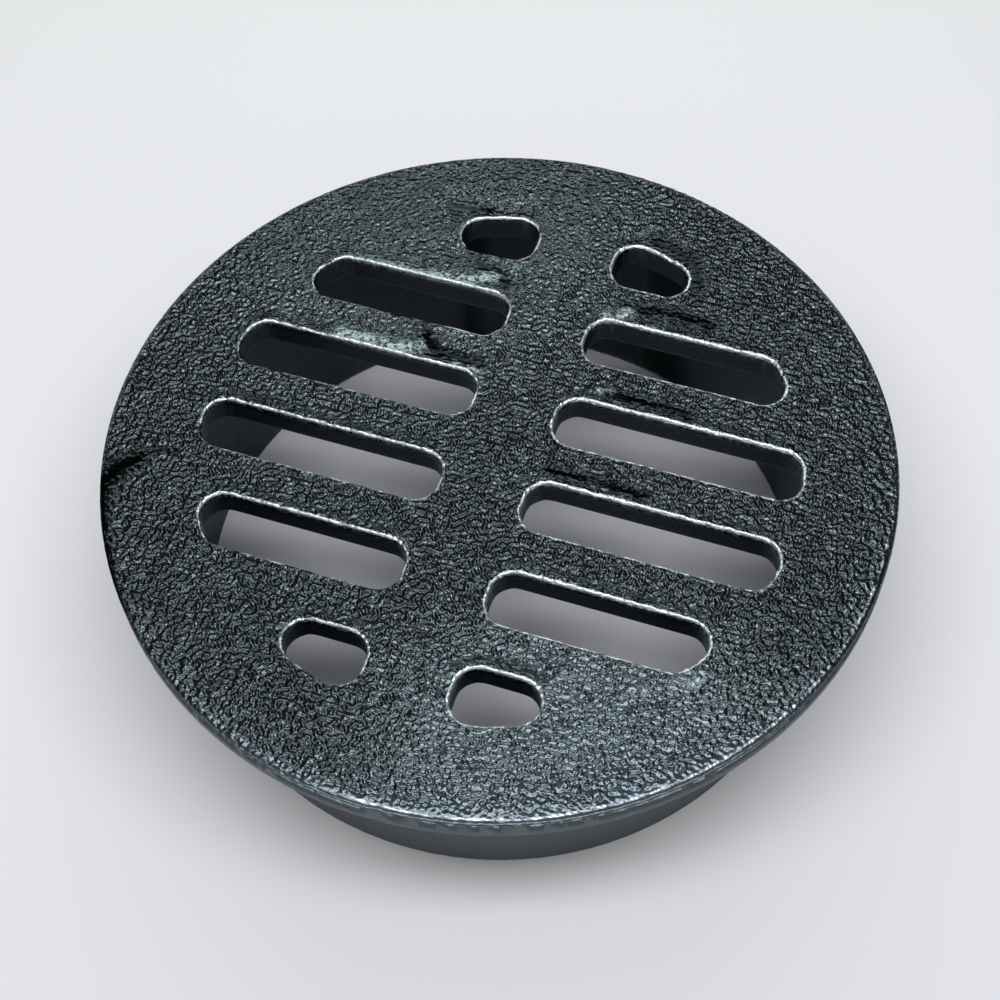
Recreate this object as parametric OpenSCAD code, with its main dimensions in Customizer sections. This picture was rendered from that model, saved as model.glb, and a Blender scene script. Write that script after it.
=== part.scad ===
// Round drain grate, sand cast in one piece: a slotted plate with an overhanging rim, on a deep round collar
// that drops inside the drain pipe. Z is up and the slots run along X. The origin is the centre of the
// collar's bottom edge, so the grate stands on the XY plane.

/* [Plate] */
// Diameter of the plate over its rim
plate_d = 175; // [170:1:200]
// Thickness of the plate
plate_t = 7.5; // [6:0.5:10]
// Rounding of the rim's top edge
rim_top_r = 1.2; // [0.6:0.1:2.5]
// Rounding of the rim's lower edge
rim_low_r = 0.8; // [0.4:0.1:1.5]

/* [Slots] */
// Rows of slots, the same number on each side of the X axis
slot_rows = 6; // [2:2:6]
// Distance from one row of slots to the next
row_pitch = 23.4; // [20:0.1:23.6]
// Width of a slot
slot_w = 12.3; // [10:0.1:14]
// Width of the rib that parts the two columns of slots
rib_w = 19.4; // [12:0.2:20]
// Diameter of the circle that the slots' outer ends follow
slot_field_d = 133; // [132:0.5:136]
// Radius of a slot's corners
slot_corner_r = 4.9; // [3:0.1:4.9]

/* [Collar] */
// Outer diameter of the collar, a loose fit in the pipe
collar_d = 150; // [148:0.5:152]
// Wall of the collar at its bottom edge
collar_wall = 4; // [3:0.5:5]
// Draft of the collar's inner face, in degrees
collar_draft = 1.2; // [0:0.1:2]
// Height from the collar's bottom edge to the plate's top
grate_h = 53.5; // [30:0.5:80]
// Fillets where the collar joins the plate
root_r = 2.5; // [1:0.1:4]
// Rounding of the collar's bottom edge
foot_r = 1; // [0.4:0.1:1.4]

/* [Hidden] */

plate_r = plate_d / 2;
under_z = grate_h - plate_t;
collar_r = collar_d / 2;
foot_inner_r = collar_r - collar_wall;
field_r = slot_field_d / 2;
// How far a cutting shape runs past the face that it cuts
past = 1;
// A slot's straight sides stay this much inside its corners' circles, so that the two cross and don't just touch
seam = 0.02;
curve_fn = 180;
corner_fn = 48;

// Distance from the Y axis to the centre of an outer corner whose centre is at height y, never inside the rib
function corner_x(y) =
    max(rib_w / 2 + slot_corner_r, sqrt(max(0, pow(field_r - slot_corner_r, 2) - y * y)));

// Distance from the axis to the collar's inner face at height z
function inner_face_x(z) = foot_inner_r - z * tan(collar_draft);

// Centre of a circle of radius r at height z that touches the collar's inner face, inside the wall where r is
// positive and in the hollow where r is negative
function beside_inner_face(r, z) = [inner_face_x(z) + r / cos(collar_draft), z];

// Where that circle touches the face
function on_inner_face(r, z) = beside_inner_face(r, z) - r * [cos(collar_draft), sin(collar_draft)];

// What a sharp corner loses when it is rounded by a circle of radius r at c that touches its sides at a and b
module corner_waste(c, r, a, b, corner) {
    difference() {
        polygon([a, corner + (corner - c) / 4, b, c]);
        translate(c) circle(r, $fn = corner_fn);
    }
}

// Half of the casting's cross-section, from the axis outwards
module section() {
    rim_top = [plate_r - rim_top_r, grate_h - rim_top_r];
    rim_low = [plate_r - rim_low_r, under_z + rim_low_r];
    foot_out = [collar_r - foot_r, foot_r];
    foot_in = beside_inner_face(foot_r, foot_r);
    root_out = [collar_r + root_r, under_z - root_r];
    root_in = beside_inner_face(-root_r, under_z - root_r);
    difference() {
        polygon([
            [0, grate_h], [plate_r, grate_h], [plate_r, under_z],
            [root_out.x, under_z], [collar_r, root_out.y], [collar_r, 0],
            [foot_inner_r, 0], on_inner_face(-root_r, root_in.y), [root_in.x, under_z], [0, under_z]
        ]);
        corner_waste(rim_top, rim_top_r, [rim_top.x, grate_h], [plate_r, rim_top.y], [plate_r, grate_h]);
        corner_waste(rim_low, rim_low_r, [rim_low.x, under_z], [plate_r, rim_low.y], [plate_r, under_z]);
        corner_waste(foot_out, foot_r, [foot_out.x, 0], [collar_r, foot_r], [collar_r, 0]);
        corner_waste(foot_in, foot_r, [foot_in.x, 0], on_inner_face(foot_r, foot_r), [foot_inner_r, 0]);
        translate(root_out) circle(root_r, $fn = corner_fn);
        translate(root_in) circle(root_r, $fn = corner_fn);
    }
}

// Outline of the right-hand slot in the row whose middle is at height y above the X axis
module slot_outline(y) {
    reach = slot_corner_r - seam;
    near_x = rib_w / 2 + slot_corner_r;
    low_y = y - slot_w / 2 + slot_corner_r;
    high_y = y + slot_w / 2 - slot_corner_r;
    far_low = [corner_x(low_y), low_y];
    far_high = [corner_x(high_y), high_y];
    polygon([
        [near_x, low_y - reach], [far_low.x, low_y - reach], far_low,
        far_high, [far_high.x, high_y + reach], [near_x, high_y + reach],
        [near_x - reach, high_y], [near_x - reach, low_y]
    ]);
    for (corner = [[near_x, low_y], [near_x, high_y], far_low, far_high])
        translate(corner) circle(slot_corner_r, $fn = corner_fn);
    intersection() {
        circle(field_r - seam, $fn = curve_fn);
        polygon([far_low, 1.2 * far_low, 1.2 * far_high, far_high]);
    }
}

// Both columns of slots, cut through the plate
module slots() {
    translate([0, 0, under_z - past])
        linear_extrude(plate_t + 2 * past)
            for (row = [1 : slot_rows / 2], side = [0, 1], end = [0, 1])
                mirror([side, 0]) mirror([0, end])
                    slot_outline((row - 0.5) * row_pitch);
}

module grate() {
    color("#34393c")
    difference() {
        rotate_extrude($fn = curve_fn) section();
        slots();
    }
}

grate();
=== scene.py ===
import math

import bpy
import numpy as np
from mathutils import Matrix, Vector, kdtree


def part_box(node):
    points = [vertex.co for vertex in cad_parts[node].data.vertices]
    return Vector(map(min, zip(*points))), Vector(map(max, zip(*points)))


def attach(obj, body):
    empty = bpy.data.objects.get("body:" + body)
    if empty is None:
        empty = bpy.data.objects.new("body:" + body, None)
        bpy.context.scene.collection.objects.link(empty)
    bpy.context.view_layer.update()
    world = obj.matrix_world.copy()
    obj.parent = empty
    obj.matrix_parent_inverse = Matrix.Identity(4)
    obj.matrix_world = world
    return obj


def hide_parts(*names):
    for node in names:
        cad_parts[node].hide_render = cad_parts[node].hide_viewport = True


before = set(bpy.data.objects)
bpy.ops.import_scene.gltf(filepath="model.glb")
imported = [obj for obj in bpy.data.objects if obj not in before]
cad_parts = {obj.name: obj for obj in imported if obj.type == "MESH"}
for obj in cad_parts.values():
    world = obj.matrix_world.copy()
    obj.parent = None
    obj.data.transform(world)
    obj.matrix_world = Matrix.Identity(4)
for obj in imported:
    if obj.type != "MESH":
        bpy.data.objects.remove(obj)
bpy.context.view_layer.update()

MM = 0.001

# The plate's top and radius, from the frame, and its underside
GRATE_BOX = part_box("grate")
TOP_Z = GRATE_BOX[1][2]
PLATE_R = GRATE_BOX[1][0]
UNDER_Z = 46 * MM

# No slot reaches further from the axis than the first, and the collar's inner face stays within the second
SLOTS_END = 70 * MM
COLLAR_INSIDE = 73.5 * MM

# Where the photograph's camera stood, as seen from the middle of the plate's top
VIEW_AZIMUTH = math.radians(20.14)
VIEW_ELEVATION = math.radians(55.83)
VIEW_DISTANCE = 4.37 * PLATE_R
VIEW_ROLL = math.radians(-2.28)
PICTURE_SIDE = 1000
FOCAL_PIXELS = 1740.3
PLATE_MIDDLE_PIXEL = (497.9, 447.4)
SENSOR_WIDTH = 36
NEAREST_SEEN = 0.01

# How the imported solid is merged, which of its edges are sharp, and how fine the skin over it is cut
WELD_GAP = 0.02 * MM
SHARP_ANGLE = math.radians(60)
EDGE_POINT_STEP = 0.25 * MM
SKIN_VOXEL = 0.6 * MM
SKIN_TRIANGLES = 190000

# How many steps a vertex group's weights are given in
WEIGHT_STEPS = 60

# How far the rounding of the slots' edges reaches, how often it is smoothed, and how far under the plate it
# still counts
SLOT_EDGE_REACH = 1.3 * MM
SLOT_EDGE_PASSES = 14
SLOT_EDGE_DEPTH = 2 * MM

# The cast skin comes in between these depths under the plate's top. It lies a little lower than the solid,
# so that the lips around the slots can stand up from it.
SKIN_FADE = (1.6 * MM, 0.4 * MM)
SKIN_DROP = 0.4 * MM

# Unevenness of the skin and of the lips: (height, size, depth of detail)
SLOW_WAVES = (0.45 * MM, 14 * MM, 2)
LUMPS = (0.15 * MM, 3.2 * MM, 1)
BEADS = (0.5 * MM, 1.6 * MM, 0)

# The lips around the slots: how high, how far from the edge they are whole and over what distance they fall
# away, both in mm. Those on the far side of a slot face the front and are the highest, and the others have
# the least share of that.
LIP_HEIGHT = 0.45 * MM
LIP_WIDTH = 0.5
LIP_FALL = 1.0
LIP_LEAST = 0.35
SLOT_FACES_FRONT = np.array([0.35, -0.94])

# The plate's top rolls down outside this distance from its axis, most towards the front side of the rim
ROLLED_RIM = 70 * MM
ROLLED_RIM_DROP = 1.2 * MM
ROLLED_RIM_LEAST = 0.35
ROLLED_RIM_TURN = (-0.2, 0.8)
RIM_FRONT = np.array([0.57, -0.82])

# Flash and lumps that stand up from the skin: (height mm, width mm, [(x, y) mm along it])
RIDGES = [
    (0.50, 0.8, [(12.7, 41.7), (14.9, 43.3), (17.7, 44.5)]),
    (0.45, 1.0, [(30.0, 18.8), (32.8, 19.6)]),
    (0.40, 0.7, [(14.4, 20.2), (15.2, 21.9), (18.0, 21.9), (22.7, 21.9)]),
    (0.40, 0.7, [(25.7, 2.7), (25.6, 0.2), (26.6, -1.1), (25.3, -2.9), (22.0, -3.1)]),
    (0.30, 0.6, [(46.2, 42.7), (49.4, 42.9)]),
    (0.50, 1.1, [(-45.1, 42.3), (-38.8, 42.3), (-32.4, 41.4), (-27.2, 41.4), (-22.6, 43.2), (-16.9, 46.2)]),
    (0.45, 1.6, [(-44.5, 19.7), (-38.6, 19.9), (-32.1, 20.4), (-25.5, 21.6)]),
    (0.35, 1.0, [(-23.7, 27.9), (-16.5, 29.6), (-9.6, 30.8), (-6.3, 34.0)]),
    (0.35, 0.8, [(-28.3, 27.7), (-25.1, 27.5)]),
    (0.35, 0.9, [(10.6, -27.2), (17.9, -26.0), (24.9, -27.3)]),
    (0.40, 1.0, [(-73.1, 27.2), (-72.4, 27.5)]),
    (0.40, 1.1, [(55.5, -42.2), (56.6, -41.6)]),
    (0.35, 1.0, [(44.2, -47.9), (45.2, -47.6)]),
    (0.35, 1.0, [(74.6, -12.0), (75.4, -11.8)]),
    (0.30, 1.4, [(64.3, -18.6), (65.1, -18.4)]),
    (0.35, 0.9, [(26.9, -80.4), (30.3, -78.2)]),
    (0.35, 0.9, [(-39.6, -70.2), (-36.9, -71.3)]),
]

# Hollows where the sand gave way: (depth mm, width mm, [(x, y) mm along it])
HOLLOWS = [
    (0.50, 2.0, [(-19.5, 45.0), (-15.5, 47.3), (-11.0, 47.0)]),
    (0.35, 2.0, [(-25.8, 51.2), (-21.2, 50.7), (-15.7, 49.1)]),
    (0.55, 2.2, [(-24.0, 21.8), (-19.9, 22.3), (-14.5, 21.6)]),
    (0.40, 1.8, [(-35.1, 67.2), (-29.1, 67.7), (-23.8, 66.9), (-14.5, 68.1)]),
    (0.35, 2.4, [(10.6, 66.4), (15.7, 68.4), (24.7, 66.6), (30.2, 62.1)]),
    (0.30, 3.5, [(-37.3, -50.0), (-28.2, -46.6), (-17.4, -45.7), (-8.0, -47.0)]),
]

# Where the paint ran smooth over the pebbles, with painted shade darkening it: (share, width mm, [(x, y) mm
# along it])
SHADED_SMOOTH_RUNS = [
    (1.0, 2.4, [(-21.0, 48.8), (-16.4, 47.6), (-12.1, 44.2)]),
    (1.0, 2.6, [(-25.7, 24.6), (-22.8, 21.6), (-17.3, 21.2), (-11.4, 20.1)]),
    (1.0, 2.8, [(17.0, 67.6), (22.2, 66.6), (27.8, 63.9), (30.6, 57.5)]),
    (1.0, 2.6, [(16.2, 46.0), (23.7, 47.6), (30.9, 47.4), (36.3, 46.9)]),
    (1.0, 1.1, [(-67.5, -21.4), (-72.8, -24.1)]),
    (1.0, 4.2, [(-75.0, -26.0), (-78.5, -30.2), (-79.5, -35.8), (-75.6, -47.8), (-66.3, -61.5)]),
    (1.0, 1.8, [(-32.0, 64.1), (-23.5, 65.0)]),
    (1.0, 2.2, [(19.0, 21.6), (27.0, 21.4), (38.0, 20.8)]),
    (1.0, 2.0, [(12.0, -2.4), (22.0, -2.0), (34.0, -2.6)]),
]

# It also ran smooth behind the lips on the far sides of the slots, with painted shade there too: how far
# from the edge and how wide, both in mm, and how much
SHADED_RUN_BEHIND_LIPS = 2.4
SHADED_RUN_WIDTH = 1.1
SHADED_RUN_SHARE = 0.6

# Where it is rubbed thin and pale: (share, width mm, [(x, y) mm along it]), and the depths under the plate's
# top between which that comes in
PALE_SMEARS = [
    (1.0, 1.3, [(-30.3, 42.2), (-25.3, 42.6), (-21.2, 43.3), (-16.6, 46.0)]),
    (0.9, 0.6, [(-21.2, 42.2), (-15.7, 41.8), (-12.0, 40.8)]),
    (1.0, 1.6, [(-44.7, 19.9), (-39.3, 19.8), (-33.5, 19.6), (-28.6, 19.8), (-26.4, 21.2)]),
    (0.8, 0.6, [(-16.7, 19.4), (-10.3, 18.5)]),
    (1.0, 1.2, [(12.4, 42.1), (16.9, 44.5)]),
    (0.8, 0.9, [(54.9, -42.9), (56.8, -40.6)]),
    (0.7, 0.8, [(44.4, -47.8), (46.7, -47.3)]),
    (0.7, 0.7, [(16.5, 21.5), (19.5, 22.2)]),
    (0.5, 1.2, [(-49.0, 41.8), (-40.0, 42.4), (-33.0, 42.0)]),
]
SMEAR_FADE = (1.5 * MM, 0.8 * MM)

# The paint is worn to bare iron, which also serves as a painted highlight along the lips, from the slots'
# edges up to the first distance in mm, and is whole past the second
WORN_AND_HIGHLIT_REACH = (0.40, 1.10)

# The crest of the rolled rim, how wide and how strong the painted highlight along it is, put in as bare
# iron, between which turns towards the front and between which depths under the plate's top that comes in
RIM_CREST = 86.2 * MM
RIM_HIGHLIGHT_WIDTH = 0.5 * MM
RIM_HIGHLIGHT_SHARE = 0.56
RIM_HIGHLIGHT_TURN = (0.1, 0.7)
RIM_HIGHLIGHT_FADE = (3 * MM, 2.4 * MM)

# How much of the pebbles the smooth runs drown, and how much painted shade darkens the paint to dull black
# there and inside the slots and the collar
PEBBLES_DROWNED = 0.9
SHADE_IN_RUNS = 0.95
SHADE_INSIDE = 0.55
INSIDE_DEPTH = 1.4 * MM

# Glossy black paint
PAINT_COLOUR = (0.0022, 0.0025, 0.0029, 1)
RUBBED_COLOUR = (0.36, 0.45, 0.45, 1)
PAINT_TINT = (0.75, 0.93, 1, 1)
PAINT_IOR = 2.0

# Bare iron where the paint is gone, bright enough to be a painted highlight along the slots' lips and the
# front of the rim
HIGHLIT_IRON_COLOUR = (0.62, 0.68, 0.72, 1)
HIGHLIT_IRON_METALLIC = 0.9
HIGHLIT_IRON_ROUGHNESS = 0.38

# Noises of the skin, as scale and detail, and the height of the pebbles
CHIPS = (420, 2)
PEBBLES = (960, 0.4)
STREAKS = (1000, 2)
PEBBLE_HEIGHT = 0.0017

# The lips chip more than the rest, which carries the painted highlight onto them, and their pebbles are
# rubbed down
CHIPS_AND_HIGHLIGHT_AT_LIPS = 1.6
PEBBLES_AT_LIPS = -0.8

# Smooth steps in the material, each as (from, to, value before, value after)
# Less bare iron on the lips towards the left, so the painted highlight there is broken up
CHIPS_AND_HIGHLIGHT_FROM_LEFT = (-25 * MM, 5 * MM, -1.46, -1.08)
BARE_AND_HIGHLIT_WHERE_CHIPPED = (0.0, 0.35, 0.0, 1.0)
PEBBLES_TO_TOP = (TOP_Z - 1.8 * MM, TOP_Z - 0.9 * MM, 0.12, 1.0)
ROUGHNESS_TO_TOP = (TOP_Z - 3.0 * MM, TOP_Z - 1.2 * MM, 0.5, 0.26)
ROUGHNESS_IN_RUNS = (0.2, 0.9, 0.7, 1.0)
STREAKS_IN_SMEARS = (0.40, 0.54, 0.1, 1.0)

# Spots on the plate, as (x, y) in mm, around which the pebbles are finer, and how far that reaches
FINE_BACK_SPOT = (-42, 66)
FINE_BACK = (35 * MM, 75 * MM, 0.6, 1.0)
FINE_FRONT_SPOT = (42, -74)
FINE_FRONT = (28 * MM, 62 * MM, 0.52, 1.0)

FLOOR_SIDE = 4
FLOOR_COLOUR = (0.85, 0.85, 0.85, 1)
FLOOR_ROUGHNESS = 0.9

# Softboxes across the view, each turned towards the plate: (name, elevation in degrees from the back over
# the top, distance m, width m, depth m, radiance, colour)
SOFTBOXES = [
    ("main", 106, 0.57, 0.66, 0.15, 8.0, (1.02, 1, 1.08)),
    ("overhead", 78, 0.50, 0.70, 0.14, 0.68, (0.76, 1, 1.24)),
    ("back", 38, 0.57, 0.80, 0.15, 3.6, (0.95, 1, 0.93)),
]

# The room is brighter on this side, and its strength is a smooth step too
ROOM_BRIGHT_SIDE = (0.32, -0.88, 0.34)
ROOM_STRENGTH = (0.0, 0.8, 0.03, 0.5)
ROOM_COLOUR = (1, 1, 1, 1)


def aimed_at(place, azimuth, elevation, distance):
    """Stands a lamp or a camera off from a place and turns it towards it."""
    back = Vector((math.sin(azimuth) * math.cos(elevation),
                   -math.cos(azimuth) * math.cos(elevation),
                   math.sin(elevation)))
    turn = (-back).to_track_quat("-Z", "Y").to_matrix().to_4x4()
    return Matrix.Translation(Vector(place) + back * distance) @ turn


def make_camera():
    """The photograph's view, from the front right and above, with the plate's middle on its pixel."""
    lens = bpy.data.cameras.new("view")
    lens.sensor_width = SENSOR_WIDTH
    lens.lens = FOCAL_PIXELS * SENSOR_WIDTH / PICTURE_SIDE
    lens.clip_start = NEAREST_SEEN
    camera = bpy.data.objects.new("view", lens)
    bpy.context.collection.objects.link(camera)
    middle = PICTURE_SIDE / 2
    ray = Vector(((PLATE_MIDDLE_PIXEL[0] - middle) / FOCAL_PIXELS,
                  (middle - PLATE_MIDDLE_PIXEL[1]) / FOCAL_PIXELS, -1))
    aside = Vector((0, 0, -1)).rotation_difference(ray).to_matrix().to_4x4()
    at_plate = aimed_at((0, 0, TOP_Z), VIEW_AZIMUTH, VIEW_ELEVATION, VIEW_DISTANCE)
    camera.matrix_world = at_plate @ Matrix.Rotation(VIEW_ROLL, 4, "Z") @ aside.inverted()
    bpy.context.scene.camera = camera


def take_up(piece):
    """Makes a piece the only one that the next operator works on."""
    bpy.ops.object.select_all(action="DESELECT")
    piece.select_set(True)
    bpy.context.view_layer.objects.active = piece


def apply_modifier(piece, kind, **settings):
    modifier = piece.modifiers.new(kind.lower(), kind)
    for name, value in settings.items():
        setattr(modifier, name, value)
    bpy.ops.object.modifier_apply(modifier=modifier.name)


def rough_casting():
    """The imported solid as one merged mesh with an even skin, and points along the slots' sharp edges."""
    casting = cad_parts["grate"].copy()
    casting.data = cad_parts["grate"].data.copy()
    casting.name = "painted_grate"
    casting.parent = None
    bpy.context.collection.objects.link(casting)
    take_up(casting)
    bpy.ops.object.mode_set(mode="EDIT")
    bpy.ops.mesh.select_all(action="SELECT")
    bpy.ops.mesh.remove_doubles(threshold=WELD_GAP)
    bpy.ops.mesh.select_all(action="DESELECT")
    bpy.ops.mesh.select_mode(type="EDGE")
    bpy.ops.mesh.edges_select_sharp(sharpness=SHARP_ANGLE)
    bpy.ops.object.mode_set(mode="OBJECT")
    edges = selected_edge_points(casting.data)
    apply_modifier(casting, "REMESH", mode="VOXEL", voxel_size=SKIN_VOXEL, adaptivity=0)
    return casting, edges


def selected_edge_points(mesh):
    """Points at even steps along the selected edges."""
    points = []
    for edge in mesh.edges:
        if edge.select:
            start, end = (mesh.vertices[i].co for i in edge.vertices)
            steps = max(1, round((end - start).length / EDGE_POINT_STEP))
            points += [start.lerp(end, step / steps) for step in range(steps)]
    return points


def nearest_on(points, at, wanted):
    """For each wanted place, the distance to the nearest point, and the way there across the plate."""
    tree = kdtree.KDTree(len(points))
    for index, point in enumerate(points):
        tree.insert(point, index)
    tree.balance()
    gap = np.full(len(at), 1.0)
    way = np.zeros((len(at), 2))
    for index in np.flatnonzero(wanted):
        found, _, distance = tree.find(at[index])
        gap[index] = distance
        way[index] = (found.x - at[index, 0], found.y - at[index, 1])
    way /= np.maximum(np.linalg.norm(way, axis=1), 1e-9)[:, None]
    return gap, way


def places(casting):
    flat = np.empty(len(casting.data.vertices) * 3)
    casting.data.vertices.foreach_get("co", flat)
    return flat.reshape(-1, 3)


def smooth_step(value, low, high):
    share = np.clip((value - low) / (high - low), 0, 1)
    return share * share * (3 - 2 * share)


def comes_in(at, fade):
    """A share that grows from 0 to 1 between two depths under the plate's top."""
    return smooth_step(at[:, 2], TOP_Z - fade[0], TOP_Z - fade[1])


def from_least(least, share):
    return least + (1 - least) * share


def near_line(spots, line):
    """The distance from each (x, y) in mm to the nearest point of a line of points."""
    nearest = np.full(len(spots), 1e9)
    for start, end in zip(line, line[1:]):
        start = np.array(start)
        run = np.array(end) - start
        along = np.clip((spots - start) @ run / (run @ run), 0, 1)
        gap = np.linalg.norm(spots - start - along[:, None] * run, axis=1)
        nearest = np.minimum(nearest, gap)
    return nearest


def fading_off(distance, width):
    return np.exp(-(distance / width) ** 2)


def strongest_mark(spots, marks):
    """At each (x, y) in mm, the strongest of the marks, which fade off to the sides of their lines."""
    strongest = np.zeros(len(spots))
    for strength, width, line in marks:
        strongest = np.maximum(strongest, strength * fading_off(near_line(spots, line), width))
    return strongest


def rim_front(at, radius):
    """How far each place lies towards the side where the rim is rolled down most, from -1 to 1."""
    return at[:, :2] @ RIM_FRONT / np.maximum(radius, MM)


def give_group(casting, name, weights):
    """A vertex group whose weights, in even steps, say how far the next modifier works on each vertex."""
    group = casting.vertex_groups.new(name=name)
    steps = np.rint(np.clip(weights, 0, 1) * WEIGHT_STEPS).astype(int)
    for step in range(1, WEIGHT_STEPS + 1):
        picked = np.flatnonzero(steps == step)
        if len(picked):
            group.add(picked.tolist(), step / WEIGHT_STEPS, "REPLACE")
    return group.name


def lift(casting, group, height):
    """Raises the skin where the group's weights say."""
    apply_modifier(casting, "DISPLACE", direction="Z", mid_level=0, strength=height, vertex_group=group)


def roughen(casting, group, name, roughness):
    """Makes the skin of a group uneven, up and down, by a cloudy pattern."""
    height, size, depth = roughness
    clouds = bpy.data.textures.new(name, "CLOUDS")
    clouds.noise_scale = size
    clouds.noise_depth = depth
    apply_modifier(casting, "DISPLACE", direction="Z", mid_level=0.5, strength=height,
                   texture=clouds, texture_coords="LOCAL", vertex_group=group)


def work_the_skin(casting, edges):
    """The uneven sand-cast skin, with lips round the slots, flash, lumps, hollows and a rolled rim."""
    at = places(casting)
    spots = at[:, :2] / MM
    top = comes_in(at, SKIN_FADE)
    radius = np.linalg.norm(at[:, :2], axis=1)

    near_slots = (at[:, 2] > UNDER_Z - SLOT_EDGE_DEPTH) & (radius < SLOTS_END)
    gap, way = nearest_on(edges, at, near_slots)
    rounding = give_group(casting, "slot_edges", np.clip(2 - 2 * gap / SLOT_EDGE_REACH, 0, 1))
    apply_modifier(casting, "SMOOTH", factor=0.5, iterations=SLOT_EDGE_PASSES, vertex_group=rounding)

    skin = give_group(casting, "sunk_skin", top)
    lift(casting, skin, -SKIN_DROP)
    roughen(casting, skin, "slow_waves", SLOW_WAVES)
    roughen(casting, skin, "lumps", LUMPS)

    faces_front = np.clip(way @ SLOT_FACES_FRONT, 0, 1)
    raised = np.exp(-np.maximum(gap / MM - LIP_WIDTH, 0) / LIP_FALL) * from_least(LIP_LEAST, faces_front)
    lips = give_group(casting, "lips", raised * top)
    lift(casting, lips, LIP_HEIGHT)
    roughen(casting, lips, "beads", BEADS)

    lift(casting, give_group(casting, "flash", strongest_mark(spots, RIDGES) * top), MM)
    lift(casting, give_group(casting, "hollows", strongest_mark(spots, HOLLOWS) * top), -MM)

    rolled = np.clip((radius - ROLLED_RIM) / (PLATE_R - ROLLED_RIM), 0, 1) ** 2
    rolled *= from_least(ROLLED_RIM_LEAST, smooth_step(rim_front(at, radius), *ROLLED_RIM_TURN))
    lift(casting, give_group(casting, "rolled_rim", rolled * top), -ROLLED_RIM_DROP)
    for group in list(casting.vertex_groups):
        casting.vertex_groups.remove(group)


def write_attribute(casting, name, values):
    attribute = casting.data.attributes.new(name, "FLOAT", "POINT")
    attribute.data.foreach_set("value", values)


def mark_the_paint(casting, edges):
    """Attributes that say where the paint has gone to bare iron, which is also a painted highlight along the
    lips and the rim's front, where it ran smooth, where it is rubbed pale, and where it is dulled to black
    as painted shade.
    """
    at = places(casting)
    spots = at[:, :2] / MM
    radius = np.linalg.norm(at[:, :2], axis=1)
    near_slots = (at[:, 2] > TOP_Z - SKIN_FADE[0]) & (radius < SLOTS_END)
    gap, way = nearest_on([point for point in edges if point.z > TOP_Z - MM], at, near_slots)

    # A painted highlight along the rim's crest, on the front side only, put in as bare iron
    rim = fading_off(radius - RIM_CREST, RIM_HIGHLIGHT_WIDTH) * RIM_HIGHLIGHT_SHARE
    rim *= smooth_step(rim_front(at, radius), *RIM_HIGHLIGHT_TURN) * comes_in(at, RIM_HIGHLIGHT_FADE)
    # Bare iron at the slots' lips, partly wear and partly a painted highlight, together with the rim's
    # painted highlight
    write_attribute(casting, "worn_lips_and_highlights", np.maximum(1 - smooth_step(gap / MM, *WORN_AND_HIGHLIT_REACH), rim))

    faces_front = np.clip(way @ SLOT_FACES_FRONT, 0, 1)
    # Painted shade behind the far lips and in the listed runs, where the paint also runs smooth
    smooth_and_shaded = fading_off(gap / MM - SHADED_RUN_BEHIND_LIPS, SHADED_RUN_WIDTH) * faces_front * SHADED_RUN_SHARE
    smooth_and_shaded = np.maximum(smooth_and_shaded, strongest_mark(spots, SHADED_SMOOTH_RUNS))
    write_attribute(casting, "pebbles", 1 - PEBBLES_DROWNED * smooth_and_shaded)

    # Painted shade inside the slots and the collar
    inside = (radius < COLLAR_INSIDE) & (at[:, 2] < TOP_Z - INSIDE_DEPTH)
    write_attribute(casting, "painted_shade", np.maximum(SHADE_IN_RUNS * smooth_and_shaded, SHADE_INSIDE * inside))

    write_attribute(casting, "pale_smears", strongest_mark(spots, PALE_SMEARS) * comes_in(at, SMEAR_FADE))


def make_grate():
    casting, edges = rough_casting()
    work_the_skin(casting, edges)
    triangles = 2 * len(casting.data.polygons)
    apply_modifier(casting, "DECIMATE", decimate_type="COLLAPSE", ratio=min(1, SKIN_TRIANGLES / triangles))
    low, high = (np.array(corner) for corner in GRATE_BOX)
    casting.data.vertices.foreach_set("co", np.clip(places(casting), low, high).ravel())
    mark_the_paint(casting, edges)
    bpy.ops.object.shade_smooth()
    casting.data.materials.clear()
    casting.data.materials.append(painted_casting())
    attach(casting, "root")
    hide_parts("grate")


def feed(tree, socket, value):
    """Links a socket to another one, or gives it a plain value."""
    if isinstance(value, bpy.types.NodeSocket):
        tree.links.new(value, socket)
    else:
        socket.default_value = value


def attribute(tree, name):
    node = tree.nodes.new("ShaderNodeAttribute")
    node.attribute_name = name
    return node.outputs["Fac"]


def noise(tree, place, scale, detail):
    node = tree.nodes.new("ShaderNodeTexNoise")
    node.inputs["Scale"].default_value = scale
    node.inputs["Detail"].default_value = detail
    tree.links.new(place, node.inputs["Vector"])
    return node.outputs["Fac"]


def spread(tree, value, low, high, before, after):
    """A smooth step from one value to another as a socket's value passes from low to high."""
    step = tree.nodes.new("ShaderNodeMapRange")
    step.interpolation_type = "SMOOTHSTEP"
    for name, number in (("From Min", low), ("From Max", high), ("To Min", before), ("To Max", after)):
        step.inputs[name].default_value = number
    tree.links.new(value, step.inputs["Value"])
    return step.outputs["Result"]


def work_out(tree, operation, *values):
    """A Math node on sockets or plain numbers."""
    sum_of_them = tree.nodes.new("ShaderNodeMath")
    sum_of_them.operation = operation
    for socket, value in zip(sum_of_them.inputs, values):
        feed(tree, socket, value)
    return sum_of_them.outputs["Value"]


def how_far(tree, place, spot):
    """The distance in metres from a spot on the plate's top."""
    gap = tree.nodes.new("ShaderNodeVectorMath")
    gap.operation = "DISTANCE"
    tree.links.new(place, gap.inputs[0])
    gap.inputs[1].default_value = (spot[0] * MM, spot[1] * MM, TOP_Z)
    return gap.outputs["Value"]


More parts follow.
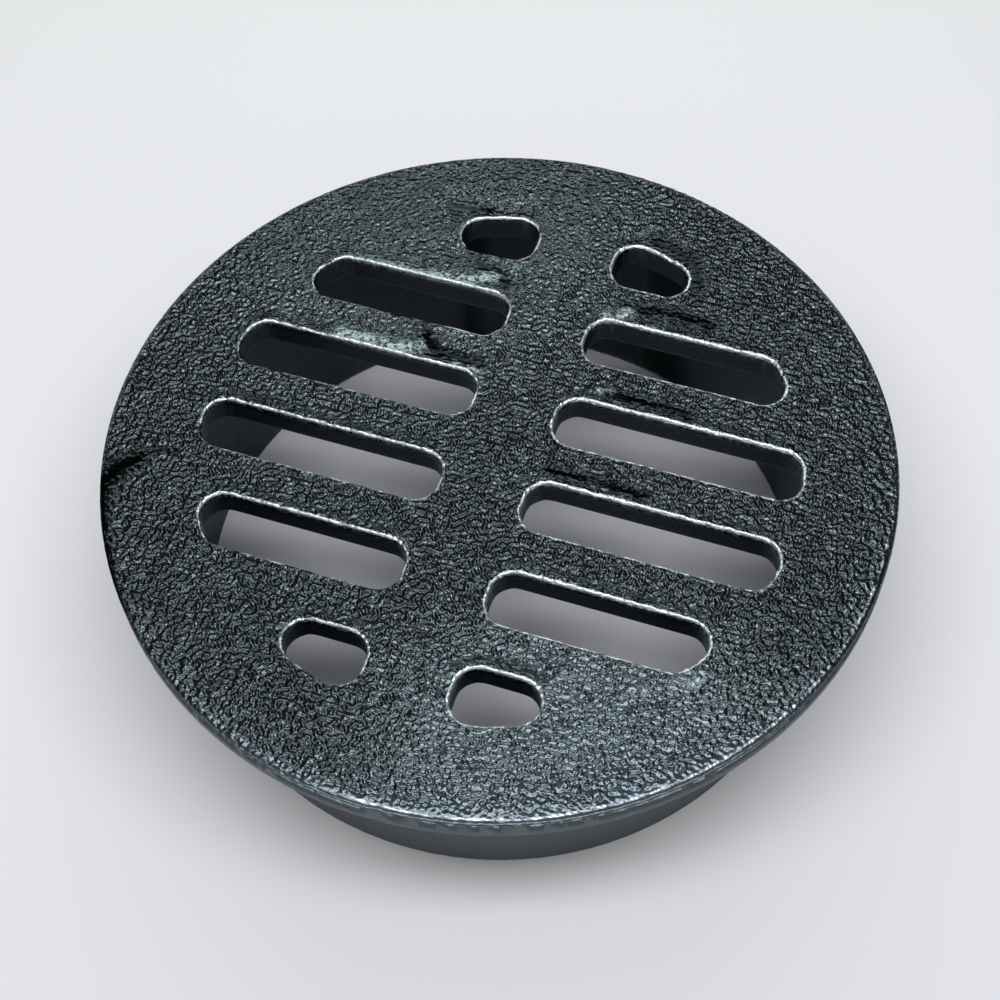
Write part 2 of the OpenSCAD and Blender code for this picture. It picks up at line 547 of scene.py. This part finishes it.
def mixed(tree, share, without, with_it):
    """A colour or a number that passes from one to another as the share grows from 0 to 1."""
    mix = tree.nodes.new("ShaderNodeMix")
    mix.data_type = "RGBA" if isinstance(with_it, tuple) else "FLOAT"
    ending = "Color" if isinstance(with_it, tuple) else "Float"
    sockets = {item.identifier: item for item in list(mix.inputs) + list(mix.outputs)}
    feed(tree, sockets["Factor_Float"], share)
    feed(tree, sockets["A_" + ending], without)
    feed(tree, sockets["B_" + ending], with_it)
    return sockets["Result_" + ending]


def painted_casting():
    """Glossy black paint over a pebbled sand-cast skin, worn to bright iron along the slots' lips as wear
    and painted highlight, and dulled to black as painted shade inside and in smooth runs.
    """
    material = bpy.data.materials.new("pebbled_black_paint")
    material.use_nodes = True
    tree = material.node_tree
    link = tree.links.new
    shader = tree.nodes["Principled BSDF"]
    shader.inputs["IOR"].default_value = PAINT_IOR
    shader.inputs["Specular Tint"].default_value = PAINT_TINT
    place = tree.nodes.new("ShaderNodeTexCoord").outputs["Object"]
    parts = tree.nodes.new("ShaderNodeSeparateXYZ")
    link(place, parts.inputs["Vector"])
    # Wear on the lips that is also a painted highlight, and the painted highlight along the rim's front
    lips = attribute(tree, "worn_lips_and_highlights")
    pebbles = attribute(tree, "pebbles")

    kept = spread(tree, parts.outputs["X"], *CHIPS_AND_HIGHLIGHT_FROM_LEFT)
    chips_and_highlight = work_out(tree, "ADD", noise(tree, place, *CHIPS), kept)
    chips_and_highlight = work_out(tree, "MULTIPLY_ADD", lips, CHIPS_AND_HIGHLIGHT_AT_LIPS, chips_and_highlight)
    worn_and_highlit = spread(tree, chips_and_highlight, *BARE_AND_HIGHLIT_WHERE_CHIPPED)

    fine_back = spread(tree, how_far(tree, place, FINE_BACK_SPOT), *FINE_BACK)
    fine_front = spread(tree, how_far(tree, place, FINE_FRONT_SPOT), *FINE_FRONT)
    height = spread(tree, parts.outputs["Z"], *PEBBLES_TO_TOP)
    height = work_out(tree, "MULTIPLY", height, work_out(tree, "MULTIPLY", fine_back, fine_front))
    height = work_out(tree, "MULTIPLY", height, work_out(tree, "MULTIPLY_ADD", lips, PEBBLES_AT_LIPS, 1.0))
    height = work_out(tree, "MULTIPLY", height, pebbles)
    bump = tree.nodes.new("ShaderNodeBump")
    bump.inputs["Distance"].default_value = PEBBLE_HEIGHT
    link(height, bump.inputs["Strength"])
    link(noise(tree, place, *PEBBLES), bump.inputs["Height"])
    link(bump.outputs["Normal"], shader.inputs["Normal"])

    streaks = spread(tree, noise(tree, place, *STREAKS), *STREAKS_IN_SMEARS)
    smeared = work_out(tree, "MULTIPLY", attribute(tree, "pale_smears"), streaks)
    paint = mixed(tree, smeared, PAINT_COLOUR, RUBBED_COLOUR)
    # Bare iron over the paint: wear on the lips that is also a painted highlight there and along the rim's
    # front
    link(mixed(tree, worn_and_highlit, paint, HIGHLIT_IRON_COLOUR), shader.inputs["Base Color"])

    unsmeared = work_out(tree, "SUBTRACT", 1.0, smeared)
    # Painted shade: the paint turns dull black inside the slots and the collar, behind the far lips and in
    # the smooth runs
    painted_shade_share = work_out(tree, "MULTIPLY", attribute(tree, "painted_shade"), unsmeared)
    link(mixed(tree, worn_and_highlit, painted_shade_share, HIGHLIT_IRON_METALLIC), shader.inputs["Metallic"])

    roughness = spread(tree, parts.outputs["Z"], *ROUGHNESS_TO_TOP)
    roughness = work_out(tree, "MULTIPLY", roughness, spread(tree, pebbles, *ROUGHNESS_IN_RUNS))
    link(mixed(tree, worn_and_highlit, roughness, HIGHLIT_IRON_ROUGHNESS), shader.inputs["Roughness"])
    return material


def make_floor():
    bpy.ops.object.select_all(action="DESELECT")
    bpy.ops.mesh.primitive_plane_add(size=FLOOR_SIDE)
    floor = bpy.context.object
    floor.name = "floor"
    material = bpy.data.materials.new("floor")
    material.use_nodes = True
    shader = material.node_tree.nodes["Principled BSDF"]
    shader.inputs["Base Color"].default_value = FLOOR_COLOUR
    shader.inputs["Roughness"].default_value = FLOOR_ROUGHNESS
    floor.data.materials.append(material)


def hang_softbox(name, elevation, distance, width, depth, radiance, colour):
    light = bpy.data.lights.new(name, "AREA")
    light.shape = "RECTANGLE"
    light.size = width
    light.size_y = depth
    light.energy = radiance * math.pi * width * depth
    light.color = colour
    lamp = bpy.data.objects.new(name, light)
    bpy.context.collection.objects.link(lamp)
    lamp.matrix_world = aimed_at((0, 0, TOP_Z), VIEW_AZIMUTH + math.pi, math.radians(elevation), distance)


def light_the_studio():
    """A dim room that is brighter on the front side, with three long softboxes from behind to overhead."""
    world = bpy.data.worlds.new("studio")
    bpy.context.scene.world = world
    world.use_nodes = True
    tree = world.node_tree
    towards_bright = tree.nodes.new("ShaderNodeVectorMath")
    towards_bright.operation = "DOT_PRODUCT"
    towards_bright.inputs[1].default_value = ROOM_BRIGHT_SIDE
    direction = tree.nodes.new("ShaderNodeTexCoord").outputs["Generated"]
    tree.links.new(direction, towards_bright.inputs[0])
    strength = spread(tree, towards_bright.outputs["Value"], *ROOM_STRENGTH)
    background = tree.nodes["Background"]
    background.inputs["Color"].default_value = ROOM_COLOUR
    tree.links.new(strength, background.inputs["Strength"])
    for softbox in SOFTBOXES:
        hang_softbox(*softbox)


make_camera()
make_floor()
light_the_studio()
make_grate()
bpy.context.scene.view_settings.view_transform = "Standard"
